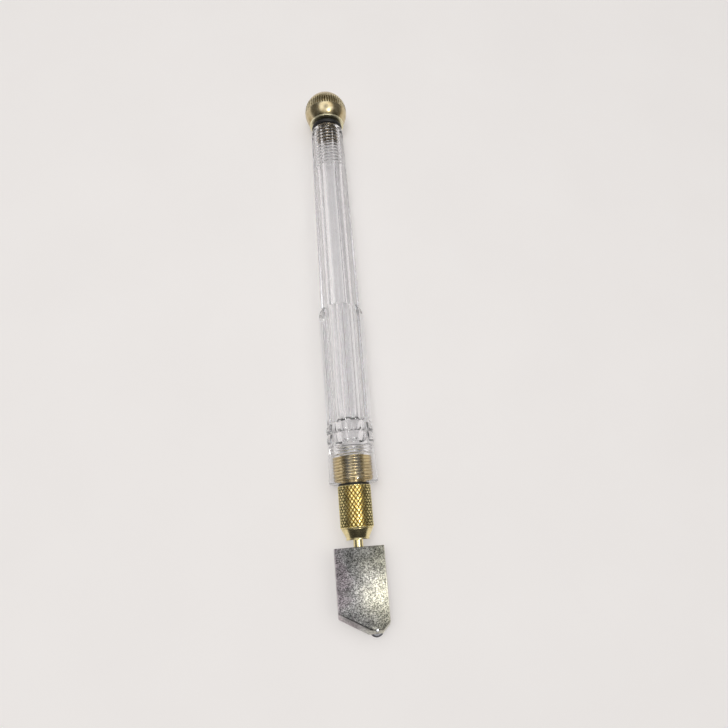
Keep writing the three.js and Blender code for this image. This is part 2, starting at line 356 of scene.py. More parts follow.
def carve(obj, cutters, sharp=35):
    """Takes the cutters out of the piece, applies the result and removes the cutters."""
    for cutter in cutters:
        modifier = obj.modifiers.new("cut", "BOOLEAN")
        modifier.operation = "DIFFERENCE"
        modifier.solver = "EXACT"
        modifier.object = cutter
    bpy.context.view_layer.update()
    depsgraph = bpy.context.evaluated_depsgraph_get()
    result = bpy.data.meshes.new_from_object(obj.evaluated_get(depsgraph))
    obj.modifiers.clear()
    obj.data = result
    obj.data.name = obj.name
    for cutter in cutters:
        bpy.data.objects.remove(cutter)
    obj.data.polygons.foreach_set("use_smooth", [True] * len(obj.data.polygons))
    obj.data.set_sharp_from_angle(angle=math.radians(sharp))
    return obj


# ---------- materials ----------
def new_material(name):
    mat = bpy.data.materials.new(name)
    mat.use_nodes = True
    nodes = mat.node_tree.nodes
    return mat, nodes, mat.node_tree.links, nodes["Principled BSDF"]


def noise(nodes, links, scale, detail=4.0, stretch=(1, 1, 1), roughness=0.5):
    """Noise in the object's own space, its scale in cycles per metre."""
    place = nodes.new("ShaderNodeTexCoord")
    mapping = nodes.new("ShaderNodeMapping")
    mapping.inputs["Scale"].default_value = stretch
    texture = nodes.new("ShaderNodeTexNoise")
    texture.inputs["Scale"].default_value = scale
    texture.inputs["Detail"].default_value = detail
    texture.inputs["Roughness"].default_value = roughness
    links.new(place.outputs["Object"], mapping.inputs["Vector"])
    links.new(mapping.outputs["Vector"], texture.inputs["Vector"])
    return texture.outputs["Fac"]


def ramp(nodes, links, source, stops):
    """A colour ramp. stops are (place, colour or grey)."""
    node = nodes.new("ShaderNodeValToRGB")
    elements = node.color_ramp.elements
    while len(elements) < len(stops):
        elements.new(0.5)
    for element, (place, colour) in zip(elements, stops):
        element.position = place
        element.color = (*colour, 1) if isinstance(colour, tuple) else (colour, colour, colour, 1)
    links.new(source, node.inputs["Fac"])
    return node.outputs["Color"]


def mixed(nodes, links, factor, a, b, how="MIX"):
    node = nodes.new("ShaderNodeMix")
    node.data_type = "RGBA"
    node.blend_type = how
    for socket, value in ((node.inputs["Factor"], factor), (node.inputs["A"], a), (node.inputs["B"], b)):
        if isinstance(value, (int, float)):
            socket.default_value = value
        elif isinstance(value, tuple):
            socket.default_value = (*value, 1)
        else:
            links.new(value, socket)
    return node.outputs["Result"]


def times(nodes, links, a, b):
    """One colour multiplied by another."""
    return mixed(nodes, links, 1.0, a, b, "MULTIPLY")


def bump(nodes, links, bsdf, height, strength, distance, under=None):
    """Relief from a height of 0 to 1 that is worth a distance in metres."""
    node = nodes.new("ShaderNodeBump")
    node.inputs["Strength"].default_value = strength
    node.inputs["Distance"].default_value = distance
    links.new(height, node.inputs["Height"])
    if under is not None:
        links.new(under, node.inputs["Normal"])
    links.new(node.outputs["Normal"], bsdf.inputs["Normal"])


def bow(nodes, links, centre, radius):
    """A surface normal as if a flat face were very slightly domed about this point."""
    place = nodes.new("ShaderNodeTexCoord")
    away = nodes.new("ShaderNodeVectorMath")
    away.operation = "DISTANCE"
    away.inputs[1].default_value = centre
    links.new(place.outputs["Object"], away.inputs[0])
    fall = nodes.new("ShaderNodeMath")
    fall.operation = "POWER"
    fall.inputs[1].default_value = 2
    links.new(away.outputs["Value"], fall.inputs[0])
    node = nodes.new("ShaderNodeBump")
    node.invert = True
    node.inputs["Distance"].default_value = 1 / (2 * radius)
    links.new(fall.outputs["Value"], node.inputs["Height"])
    return node.outputs["Normal"]


def mapped(nodes, links, source, low, high):
    """0 to 1 carried over to low to high."""
    node = nodes.new("ShaderNodeMapRange")
    node.inputs["To Min"].default_value = low
    node.inputs["To Max"].default_value = high
    links.new(source, node.inputs["Value"])
    return node.outputs["Result"]


def along(nodes, links, axis, start, end):
    """0 to 1 between two places along an axis of the object's own space, in metres."""
    place = nodes.new("ShaderNodeTexCoord")
    split = nodes.new("ShaderNodeSeparateXYZ")
    node = nodes.new("ShaderNodeMapRange")
    node.inputs["From Min"].default_value = start
    node.inputs["From Max"].default_value = end
    links.new(place.outputs["Object"], split.inputs["Vector"])
    links.new(split.outputs[axis], node.inputs["Value"])
    return node.outputs["Result"]


def lift_of(nodes, links, low, high):
    """0 at the bottom of a knurl or thread and 1 at its crest, from the lift its mesh was made with."""
    attribute = nodes.new("ShaderNodeAttribute")
    attribute.attribute_name = "lift"
    node = nodes.new("ShaderNodeMapRange")
    node.inputs["From Min"].default_value = low
    node.inputs["From Max"].default_value = high
    links.new(attribute.outputs["Fac"], node.inputs["Value"])
    return node.outputs["Result"]


def shaded(colour, by):
    """A colour with each channel multiplied by its factor."""
    return tuple(factor * channel for factor, channel in zip(by, colour))


def acrylic(name, low, high):
    """Clear plastic with faint flow lines along the tool, its roughness from low to high."""
    mat, nodes, links, bsdf = new_material(name)
    bsdf.inputs["Base Color"].default_value = (0.985, 0.985, 1.0, 1)
    bsdf.inputs["Transmission Weight"].default_value = 1.0
    bsdf.inputs["IOR"].default_value = 1.49
    flow = noise(nodes, links, 120, 1.0, (1, 0.06, 1))
    grain = noise(nodes, links, 2600, 3.0)
    links.new(mapped(nodes, links, grain, low, high), bsdf.inputs["Roughness"])
    bump(nodes, links, bsdf, flow, 0.05, 0.0004)
    return mat


def brass(name, low, high, rough, groove=(0.10, 0.07, 0.03), crest=(0.90, 0.77, 0.42), grain=0.12,
          stain=(0.72, 0.72, 0.72)):
    """Turned brass with stained patches, lathe lines and painted shade that darkens it towards the groove
    colour. low and high are the lifts of groove and crest.
    """
    mat, nodes, links, bsdf = new_material(name)
    bsdf.inputs["Metallic"].default_value = 1.0
    cloud = noise(nodes, links, 420, 5.0)
    lathe = noise(nodes, links, 900, 3.0, (0.06, 12, 0.06))
    tone = ramp(nodes, links, cloud, [(0.36, shaded(crest, stain)), (0.58, crest)])
    # painted shade: the colour darkens towards the groove colour down in the grooves of knurls and threads
    painted_groove_shade = ramp(nodes, links, lift_of(nodes, links, low, high), [(0.25, groove), (0.8, (1, 1, 1))])
    links.new(times(nodes, links, tone, painted_groove_shade), bsdf.inputs["Base Color"])
    links.new(mapped(nodes, links, cloud, *rough), bsdf.inputs["Roughness"])
    bump(nodes, links, bsdf, lathe, grain, 0.00003)
    return mat


def plated(name, shade, relief, dark, light):
    """Plated casting: blotches, brushed strokes, and a gritty speckle that runs from dark to light."""
    mat, nodes, links, bsdf = new_material(name)
    bsdf.inputs["Metallic"].default_value = 1.0
    cloud = noise(nodes, links, 210, 5.0, roughness=0.6)
    grit = noise(nodes, links, 3300, 5.0, roughness=0.7)
    strokes = noise(nodes, links, 2200, 3.0, (1.5, 0.3, 1), roughness=0.6)
    blotches = [(0.36, shaded(shade, (0.46,) * 3)), (0.5, shaded(shade, (0.74,) * 3)), (0.66, shade)]
    tone = ramp(nodes, links, cloud, blotches)
    speckle = ramp(nodes, links, grit, [(0.37, dark), (0.5, 0.86), (0.62, light)])
    # the plating has a violet cast on one side and a yellow one on the other, and it is painted darker
    # towards the shank, a painted shade
    side = along(nodes, links, "X", -HEAD_HALF_W * MM, HEAD_HALF_W * MM)
    drift = mixed(nodes, links, 0.5, side, noise(nodes, links, 150, 2.0))
    casts = [(0.3, (1.0, 0.9, 1.0)), (0.42, (0.97, 0.97, 1.0)), (0.7, (1.0, 0.99, 0.86))]
    tint = ramp(nodes, links, drift, casts)
    towards_shank = along(nodes, links, "Y", TIP + 11 * MM, TIP + 21 * MM)
    painted_shade_near_shank = ramp(nodes, links, towards_shank, [(0.0, 1.0), (1.0, 0.66)])
    tinted = times(nodes, links, times(nodes, links, tone, tint), painted_shade_near_shank)
    links.new(times(nodes, links, tinted, speckle), bsdf.inputs["Base Color"])
    links.new(mapped(nodes, links, cloud, 0.26, 0.34), bsdf.inputs["Roughness"])
    bowed = bow(nodes, links, at(0, 13), 0.12)
    bump(nodes, links, bsdf, mixed(nodes, links, 0.5, grit, strokes), relief, 0.00008, bowed)
    return mat


def steel():
    mat, nodes, links, bsdf = new_material("steel")
    bsdf.inputs["Metallic"].default_value = 1.0
    cloud = noise(nodes, links, 700, 4.0)
    tone = ramp(nodes, links, cloud, [(0.3, (0.42, 0.42, 0.43)), (0.7, (0.62, 0.62, 0.64))])
    links.new(tone, bsdf.inputs["Base Color"])
    links.new(mapped(nodes, links, cloud, 0.2, 0.36), bsdf.inputs["Roughness"])
    bump(nodes, links, bsdf, noise(nodes, links, 5000, 2.0), 0.2, 0.00002)
    return mat


def carbide():
    mat, nodes, links, bsdf = new_material("carbide")
    bsdf.inputs["Metallic"].default_value = 1.0
    cloud = noise(nodes, links, 1800, 4.0)
    tone = ramp(nodes, links, cloud, [(0.3, (0.07, 0.07, 0.08)), (0.7, (0.2, 0.2, 0.21))])
    links.new(tone, bsdf.inputs["Base Color"])
    links.new(mapped(nodes, links, cloud, 0.22, 0.4), bsdf.inputs["Roughness"])
    bump(nodes, links, bsdf, noise(nodes, links, 9000, 2.0), 0.25, 0.00002)
    return mat


def rubber():
    mat, nodes, links, bsdf = new_material("black_rubber")
    grain = noise(nodes, links, 2400, 4.0)
    links.new(ramp(nodes, links, grain, [(0.3, (0.008, 0.008, 0.008)), (0.7, (0.022, 0.021, 0.02))]),
              bsdf.inputs["Base Color"])
    links.new(mapped(nodes, links, grain, 0.35, 0.6), bsdf.inputs["Roughness"])
    bump(nodes, links, bsdf, grain, 0.3, 0.00004)
    return mat


def cotton():
    mat, nodes, links, bsdf = new_material("cotton")
    fibre = noise(nodes, links, 4000, 5.0, (3, 0.4, 3))
    links.new(ramp(nodes, links, fibre, [(0.3, (0.6, 0.55, 0.44)), (0.7, (0.88, 0.85, 0.76))]),
              bsdf.inputs["Base Color"])
    bsdf.inputs["Roughness"].default_value = 0.95
    bsdf.inputs["Sheen Weight"].default_value = 0.3
    bump(nodes, links, bsdf, fibre, 0.6, 0.0001)
    return mat


ACRYLIC, DRILLED = acrylic("clear_acrylic", 0.04, 0.09), acrylic("drilled_acrylic", 0.12, 0.22)
# The broad sides' plating is a far darker copy of the edges', painted shade for the dark things that the
# broad sides reflect.
PLATED = plated("plated_zinc", shade=(0.325, 0.32, 0.305), relief=0.8, dark=0.08, light=1.95)
PLATED_EDGE = plated("plated_edge", shade=(0.74, 0.73, 0.69), relief=0.25, dark=0.55, light=1.15)
STEEL, CARBIDE, RUBBER, COTTON = steel(), carbide(), rubber(), cotton()
BRASS_TURNED = brass("brass_turned", low=-1.0, high=-0.5, rough=(0.14, 0.26), grain=0.3)
BRASS_CAP = brass("brass_cap", low=-0.3, high=0.0, groove=(0.5, 0.4, 0.24), crest=(0.64, 0.54, 0.34),
                  rough=(0.12, 0.28), grain=0.2, stain=(0.68, 0.61, 0.48))
# The knurl's grooves carry painted shade, and its crest is painted brighter than the turned brass, a painted
# highlight on the collar.
BRASS_KNURLED = brass("brass_knurled", low=-KNURL_DEPTH, high=-0.02, groove=(0.26, 0.17, 0.07),
                      crest=(1.0, 0.86, 0.41), rough=(0.16, 0.26))
BRASS_THREADED = brass("brass_threaded", low=0.0, high=0.2, groove=(0.7, 0.64, 0.52),
                       crest=(0.84, 0.71, 0.44), rough=(0.12, 0.2))
# The rim is polished brass and is painted paler and brighter still, a painted reflection of the bright
# table.
BRASS_RIM = brass("brass_rim", low=-1.0, high=-0.5, crest=(1.0, 0.93, 0.66), rough=(0.3, 0.4),
                  stain=(0.9, 0.9, 0.85))
# The band's brass is a lighter copy of the cap's, painted light on a band that reflects the dark room.
BRASS_BAND = brass("brass_band", low=-0.3, high=0.0, groove=(0.45, 0.38, 0.26), crest=(0.95, 0.84, 0.56),
                   rough=(0.2, 0.34), stain=(0.8, 0.76, 0.66))
BRASS_DARK = brass("brass_dark", low=0.0, high=0.3, groove=(0.3, 0.24, 0.16), crest=(0.5, 0.41, 0.28),
                   rough=(0.15, 0.3))


def dress(obj, material, body, slot, *nodes):
    """Gives a piece its material and its body, and hides the CAD nodes that it stands for. The record slot
    is not used.
    """
    obj.data.materials.clear()
    obj.data.materials.append(material)
    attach(obj, body)
    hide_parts(*nodes)


def regions(obj, material, inside):
    """Gives a further material to the faces whose middle (radius, station) passes the test."""
    obj.data.materials.append(material)
    for face in obj.data.polygons:
        c = face.center
        if inside(math.hypot(c.x, c.z - AXIS_Z) / MM, (c.y - TIP) / MM):
            face.material_index = len(obj.data.materials) - 1


# ---------- clear barrel ----------
def octagon(angle):
    """Radius of the eight-sided section with softened corners, about 1 at a corner."""
    total = np.zeros_like(angle)
    for k in range(8):
        total += np.clip(np.cos(angle - GROOVE_ANGLE - k * FLAT), 0, 1) ** CORNER_POWER
    return math.cos(FLAT / 2) * total ** (-1 / CORNER_POWER)


def fluted(angle, depth):
    """Radius of the grip's section: broad ribs with a shallow, crisp-edged flute between them."""
    turn = (angle - GROOVE_ANGLE) / FLAT
    across = turn - np.round(turn)
    return 1 - depth * np.clip(1 - (across / FLUTE_HALF_WIDTH) ** 2, 0, 1)


def barrel_outside(radius, station, angle):
    t = station[0]
    if t >= GRIP_REAR:
        share = smooth_step(BARREL_REAR - station, 0.3, BARREL_REAR - TAIL_FLAT_FROM)
        return radius * ((1 - share) + share * octagon(angle))
    if t >= WAISTS[0]:
        # the ribs end in a rounded shoulder, which meets the eight flats in a crisp line
        rise = math.sqrt(1 - max(0, (t - GRIP_FULL) / (GRIP_REAR - GRIP_FULL)) ** 2)
        rib = radius * fluted(angle, FLUTE_DEPTH / GRIP_CREST_R * smooth_step(station, *FLUTE_RUN_OUT))
        tail = (TAIL_CORNER_R_AT_GRIP + TAIL_TAPER * (GRIP_REAR - t)) * octagon(angle)
        return np.maximum(tail, rib - (1 - rise) * SHOULDER_DROP)
    if t > WAISTS[2]:
        # the flutes run on across the beads
        return radius * fluted(angle, BEAD_FLUTE_DEPTH / BEAD_R)
    return radius


def barrel_bore(radius, station, angle):
    t = station[0]
    front, rear = BARREL_FRONT + TAP_LEAD, FRONT_TAP_TO - TAP_RUN_OUT
    if front < t < rear:
        # the tap's thread is cut deeper than the stub's, which shows behind the stub's end
        free = smooth_step(station, HOLDER_REAR, HOLDER_REAR + 0.4)
        height = FRONT_THREAD_H + (FREE_THREAD_H - FRONT_THREAD_H) * free
        return radius + height * thread(station, angle, FRONT_PITCH, front, rear)
    front, rear = REAR_TAP_TO + TAP_LEAD, BARREL_REAR - TAP_LEAD
    if front < t < rear:
        return radius + REAR_THREAD_H * thread(station, angle, REAR_PITCH, front, rear)
    return radius


def barrel_shape(radius, station, angle):
    if radius[0] > FRONT_THREAD_R + FRONT_THREAD_H + THREAD_GAP + 0.1:
        return barrel_outside(radius, station, angle)
    return barrel_bore(radius, station, angle)


def bead(rear, front, steps=12):
    """A round bead between two stations, swelling from the waist's radius."""
    swell = [math.sin(math.pi * k / steps) ** BEAD_ROUNDNESS for k in range(steps + 1)]
    return [(WAIST_R + (BEAD_R - WAIST_R) * s, rear + (front - rear) * k / steps)
            for k, s in enumerate(swell)]


def outside_outline():
    """The outside of the barrel's section, from its rear end to its front."""
    tail = [(TAIL_END_R + 0.1, BARREL_REAR), (TAIL_END_R + 0.35, BARREL_REAR - 0.35),
            (TAIL_CORNER_R, TAIL_FLAT_FROM), (TAIL_CORNER_R_AT_GRIP, GRIP_REAR)]
    shoulder = divided([(GRIP_CREST_R, GRIP_REAR - 0.01), (GRIP_CREST_R, GRIP_FULL)], 0.12, closed=False)
    grip = divided([shoulder[-1], (GRIP_CREST_R_FRONT, WAISTS[0] + 1.5)], 2.0, closed=False)[1:]
    rings = [(GRIP_CREST_R_FRONT - 0.08, WAISTS[0] + 0.35), (WAIST_R, WAISTS[0] + 0.1)]
    for i in range(2):
        rings += bead(WAISTS[i], WAISTS[i + 1])
    front = [(FRONT_R, WAISTS[2] - 1.0), (REST_R, BARREL_FRONT + 0.5), (REST_R - 0.12, BARREL_FRONT + 0.12),
             (REST_R - 0.4, BARREL_FRONT)]
    return (divided(tail[:3], 0.5, closed=False)[:-1] + divided(tail[2:], 4.0, closed=False)
            + shoulder + grip + rings + divided(front, 2.0, closed=False))


def bore_outline():
    """The inside of the barrel's section, from its front end to its rear."""
    rear_tap = REAR_THREAD_R + REAR_GAP
    front_tap = FRONT_THREAD_R + THREAD_GAP
    points = [(front_tap + 0.45, BARREL_FRONT), (front_tap, BARREL_FRONT + 0.4)]
    front_row, rear_row = FRONT_PITCH / ROWS_PER_PITCH, REAR_PITCH / ROWS_PER_PITCH
    points += divided([points[-1], (front_tap, FRONT_TAP_TO)], front_row, closed=False)[1:]
    points += [(WIDE_R, FRONT_TAP_TO + 0.3), (WIDE_R, WIDE_FROM - 0.6), (WIDE_R - 0.15, WIDE_FROM - 0.25),
               (BORE_R + 0.12, WIDE_FROM), (BORE_R, WIDE_FROM + 0.15)]
    points += divided([points[-1], (BORE_R, REAR_TAP_TO - 0.1)], 8, closed=False)[1:]
    points += divided([(rear_tap, REAR_TAP_TO), (rear_tap, BARREL_REAR - 0.35)], rear_row, closed=False)
    return points + [(rear_tap + 0.4, BARREL_REAR)]


def drilled(r, t):
    """Whether a place is on the drilled bore or the front tap, which are rougher than the outside."""
    on_bore = r < BORE_R + 0.1 and WIDE_FROM < t < REAR_TAP_TO
    return on_bore or r < FRONT_THREAD_R + FREE_THREAD_H + 0.05 and t < FRONT_TAP_TO + 0.1


def barrel():
    obj = turned("clear_barrel", outside_outline() + bore_outline(), 256, barrel_shape, sharp=50)
    dress(obj, ACRYLIC, "barrel", "clear_acrylic", "barrel")
    regions(obj, DRILLED, drilled)


# ---------- ball cap ----------
def cap_shape(radius, station, angle):
    t = station[0]
    if BAND_FROM <= t <= BAND_TO:
        gap = 1 - np.clip(1.5 * saw(angle * CAP_TEETH / TURN), 0, 1)
        return radius - CAP_TOOTH_H * 2 * between(station, BAND_FROM, BAND_TO, 0.5) * gap
    if CAP_FRONT < t < BARREL_REAR and radius[0] > 1.5:
        return radius + REAR_THREAD_H * thread(station, angle, REAR_PITCH, CAP_FRONT, BARREL_REAR - 0.2)
    return radius


def end_cap():
    root = REAR_THREAD_R
    shank = [(0, CAP_FRONT), (root - 0.3, CAP_FRONT), (root, CAP_FRONT + 0.4)]
    row = REAR_PITCH / ROWS_PER_PITCH
    shank += divided([shank[-1], (root, BARREL_REAR - 0.1)], row, closed=False)[1:]
    neck = rounded([(root, BARREL_REAR), (NECK_R, BARREL_REAR + 0.12), (NECK_R, RIM_FROM), (RIM_R, RIM_FROM),
                    (RIM_R, RIM_TO), (RIM_R - 0.22, RIM_TO + 0.05)], 0.1, 3, closed=False)
    centre = CAP_REAR - REST_R
    start = math.degrees(math.asin((RIM_TO + 0.1 - centre) / REST_R))
    ball = arc((0, centre), (REST_R, REST_R), start, 90, 120)[:-1] + [(0, CAP_REAR)]
    obj = turned("ball_cap", shank + neck + ball, CAP_TEETH * 6, cap_shape, closed=False, sharp=40)
    dress(obj, BRASS_CAP, "end_cap", "brass", "end_cap")
    regions(obj, BRASS_DARK, lambda r, t: t < BARREL_REAR)
    regions(obj, BRASS_RIM, lambda r, t: r > O_RING_R and t < RIM_TO + 0.03)
    regions(obj, BRASS_BAND, lambda r, t: BAND_FROM < t < BAND_TO)


def o_ring():
    front, rear = span("cap_o_ring")
    wire = (rear - front) / 2
    points = arc((O_RING_R, (front + rear) / 2), (wire + O_RING_SQUEEZE, wire), 0, 345, 23)
    dress(turned("o_ring", points, 96), RUBBER, "cap_o_ring", "black_rubber", "cap_o_ring")


# ---------- brass holder ----------
def on_knurl(t):
    return COLLAR_FRONT + KNURL_END < t < COLLAR_REAR - KNURL_END


def holder_shape(radius, station, angle):
    t = station[0]
    r = radius[0]
    if on_knurl(t) and r > COLLAR_R - 0.1:
        turns = angle * KNURL_STARTS / TURN
        leads = station / KNURL_LEAD
        height = np.minimum(saw(turns + leads), saw(turns - leads))
        fade = between(station, COLLAR_FRONT + KNURL_END, COLLAR_REAR - KNURL_END, 0.25)
        return radius - KNURL_DEPTH * fade * (1 - np.clip(KNURL_FLAT * height, 0, 1))
    if t > COLLAR_REAR + 0.1 and FRONT_THREAD_R - 0.05 < r < FRONT_THREAD_R + 0.05:
        front = BARREL_FRONT + TAP_LEAD
        return radius + FRONT_THREAD_H * thread(station, angle, FRONT_PITCH, front, HOLDER_REAR)
    return radius


def screw_place():
    """The retaining screw's offset across, its station, and the heights of its outer end and its tip."""
    low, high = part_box("retaining_screw")
    x, station = (low.x + high.x) / 2 / MM, ((low.y + high.y) / 2 - TIP) / MM
    return x, station, (low.z - AXIS_Z) / MM, (high.z - AXIS_Z) / MM


def holder():
    root = FRONT_THREAD_R
    cone = [(GUIDE_R, HOLDER_FRONT), (CONE_R_FRONT, HOLDER_FRONT), (CONE_R_FRONT, HOLDER_FRONT + 0.3),
            (CONE_R_FRONT - 0.12, HOLDER_FRONT + 0.45), (CONE_R_REAR, COLLAR_FRONT - 0.15),
            (CONE_R_REAR - 0.1, COLLAR_FRONT), (COLLAR_R - 0.2, COLLAR_FRONT),
            (COLLAR_R, COLLAR_FRONT + 0.22)]
    knurl = [(COLLAR_R, COLLAR_FRONT + 0.26), (COLLAR_R, COLLAR_REAR - 0.26)]
    back = [(COLLAR_R, COLLAR_REAR - 0.22), (COLLAR_R - 0.2, COLLAR_REAR), (root + 0.1, COLLAR_REAR),
            (root, COLLAR_REAR + 0.15)]
    stub = [(root, COLLAR_REAR + 0.2), (root, HOLDER_REAR - 0.3)]
    inside = [(root - 0.3, HOLDER_REAR), (CHAMBER_R + 0.2, HOLDER_REAR), (CHAMBER_R, HOLDER_REAR - 0.2),
              (CHAMBER_R, CHAMBER_FRONT), (GUIDE_R, CHAMBER_FRONT)]
    points = rounded(cone, 0.08, 3, closed=False) + divided(knurl, KNURL_LEAD / ROWS_PER_LEAD, closed=False)
    points += rounded(back, 0.08, 3, closed=False)
    points += divided(stub, FRONT_PITCH / ROWS_PER_PITCH, closed=False) + inside
    obj = turned("brass_holder", points, KNURL_STARTS * ROWS_PER_LEAD, holder_shape, sharp=30)
    hole = [(0, -6), (SCREW_HOLE_R, -6), (SCREW_HOLE_R, -1), (0, -1)]
    carve(obj, [new_object("hole", upright("hole", hole, 0, screw_place()[1]))], 30)
    dress(obj, BRASS_TURNED, "head_holder", "brass", "head_holder")
    regions(obj, BRASS_KNURLED, lambda r, t: on_knurl(t) and r > COLLAR_R - 0.4)
    regions(obj, BRASS_THREADED, lambda r, t: t > COLLAR_REAR and r > root - 0.1)


def plain_ring(name, node, inner, outer, body, edge):
    """A rubber ring with rounded edges, as long as its CAD node."""
    front, rear = span(node)
    points = rounded([(inner, front), (outer, front), (outer, rear), (inner, rear)], edge, 4)
    dress(turned(name, points, 64), RUBBER, body, "black_rubber", node)


def screw_thread(radius, height, angle):
    if radius[0] < SCREW_R - 0.05:
        return radius
    return radius - SCREW_THREAD_H * saw(height / SCREW_PITCH + angle / TURN)


def retaining_screw():
    x, station, outer, tip = screw_place()
    points = rounded([(0, outer), (SCREW_R, outer), (SCREW_R, DOG_FROM), (DOG_R, DOG_FROM), (DOG_R, tip),
                      (0, tip)], 0.07, 3, closed=False)
    mesh = upright("set_screw", divided(points, 0.05, closed=False), x, station, 40, screw_thread)
    obj = new_object("set_screw", mesh, 30)
    carve(obj, [block("slot", (-1.2, station - 0.16, outer - 0.2), (1.2, station + 0.16, outer + 0.55))], 30)
    dress(obj, STEEL, "head_holder", "steel", "retaining_screw")


# ---------- oil valve ----------
def plunger():
    front, rear = span("valve_plunger")
    flange_rear = front + FLANGE_LENGTH
    points = rounded([(0, front), (PLUNGER_R, front), (PLUNGER_R, flange_rear), (STEM_R + 0.1, flange_rear),
                      (STEM_R, front + FILLET_TO), (STEM_R, rear), (0, rear)], 0.15, 4, closed=False)
    obj = turned("plunger", divided(points, 0.6, closed=False), 64, closed=False)
    carve(obj, [block("channel", (-3, front - 0.2, -0.25), (3, front + 0.3, 0.25))])
    dress(obj, BRASS_TURNED, "valve_plunger", "brass", "valve_plunger")


def retainer():
    front, rear = span("spring_retainer")
    outer = CHAMBER_FIT_R
    points = rounded([(PORT_R, front), (outer, front), (outer, rear), (PORT_R, rear)], 0.12, 3)
    obj = turned("retainer_plug", points, 64)
    carve(obj, [block("driver_slot", (-3, rear - 0.7, -0.3), (3, rear + 0.2, 0.3))])
    dress(obj, BRASS_TURNED, "head_holder", "brass", "spring_retainer")


def spring():
    """A coil with closed ends, as long as its CAD node; the real one shortens as the head is pressed."""
    front, rear = span("valve_spring")
    wire, turns, per_turn = SPRING_WIRE, SPRING_TURNS, 30
    path = []
    for i in range(int(turns * per_turn) + 1):
        turn = i / per_turn
        rise = np.clip((turn - CLOSED_TURNS) / (turns - 2 * CLOSED_TURNS), 0, 1)
        closed_end = 2 * wire * (min(turn, CLOSED_TURNS) + max(turn - turns + CLOSED_TURNS, 0))
        station = front + wire + closed_end + rise * (rear - front - 2 * wire - 4 * CLOSED_TURNS * wire)
        angle = turn * TURN
        path.append(at(SPRING_R * math.sin(angle), station, SPRING_R * math.cos(angle)))
    obj = new_object("coil_spring", tube_along("coil_spring", path, wire * MM, 10, Vector((0, 1, 0))))
    dress(obj, STEEL, "head_holder", "steel", "valve_spring")
    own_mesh(obj)


def valve():
    plain_ring("seal_ring", "valve_seal", SEAL_INNER_R, CHAMBER_FIT_R, "head_holder", edge=0.14)
    plunger()
    retainer()
    spring()


# ---------- cutter head ----------
def smooth_route(points, steps):
    """A smooth curve through the points, with this many steps from each to the next."""
    last = len(points) - 1
    path = []
    for i in range(last):
        p = [np.array(points[min(max(k, 0), last)], float) for k in (i - 1, i, i + 1, i + 2)]
        for s in np.arange(steps) / steps:
            a = 2 * p[1] + (p[2] - p[0]) * s
            b = (2 * p[0] - 5 * p[1] + 4 * p[2] - p[3]) * s ** 2
            c = (3 * p[1] - p[0] - 3 * p[2] + p[3]) * s ** 3
            path.append((a + b + c) / 2)
    return path + [np.array(points[-1], float)]


def wick():
    """Strands twisted together, through the shank and down the head's oil way."""
    path = smooth_route(WICK_ROUTE, 8)
    bm = bmesh.new()
    for k in range(STRANDS):
        line = []
        for i, (x, station) in enumerate(path):
            angle = i * STRAND_TWIST + k * TURN / STRANDS
            line.append(at(x + STRAND_OFFSET * math.cos(angle), station, STRAND_OFFSET * math.sin(angle)))
        strand = tube_along("strand", line, STRAND_R * MM, 10)
        bm.from_mesh(strand)
        bpy.data.meshes.remove(strand)
    mesh = bpy.data.meshes.new("twisted_wick")
    bm.to_mesh(mesh)
    bm.free()
    dress(new_object("twisted_wick", mesh), COTTON, "cutter_head", "cotton", "oil_wick")


def shank():
    groove_front, groove_rear = SHANK_GROOVE_FRONT, SHANK_GROOVE_REAR
    points = rounded([(SHANK_BORE_R, SHANK_FRONT), (SHANK_R, SHANK_FRONT), (SHANK_R, groove_front),
                      (SHANK_GROOVE_R, groove_front), (SHANK_GROOVE_R, groove_rear), (SHANK_R, groove_rear),
                      (SHANK_R, SHANK_REAR), (SHANK_BORE_R, SHANK_REAR)], 0.12, 4)
    dress(turned("hollow_shank", points, 64), BRASS_TURNED, "cutter_head", "brass", "head_shank")


def head_outline(left, right, tip, height):
    w = HEAD_HALF_W
    corners = [(-w, HEAD_TOP), (-w, left[0]), (left[1], tip), (right[1], tip), (w, right[0]), (w, HEAD_TOP)]
    return [at(x, station, height) for x, station in corners]


def head_blank():
    """The head before it is drilled and slotted: two broad sides that slope to a web at the tip."""
    bm = bmesh.new()
    for outline, height in ((HEAD_FACE, HEAD_HALF_T), (HEAD_WEB_FACE, HEAD_WEB), (HEAD_WEB_FACE, -HEAD_WEB),
                            (HEAD_FACE, -HEAD_HALF_T)):
        for corner in head_outline(*outline, height):
            bm.verts.new(corner)
    bmesh.ops.convex_hull(bm, input=bm.verts)
    bmesh.ops.dissolve_limit(bm, angle_limit=math.radians(1), verts=bm.verts, edges=bm.edges)
    edges = [e for e in bm.edges if e.calc_face_angle(0) > math.radians(12)]
    bmesh.ops.bevel(bm, geom=edges, offset=HEAD_EDGE * MM, segments=3, profile=0.6, affect="EDGES")
    mesh = bpy.data.meshes.new("slotted_head")
    bm.to_mesh(mesh)
    bm.free()
    return new_object("slotted_head", mesh)


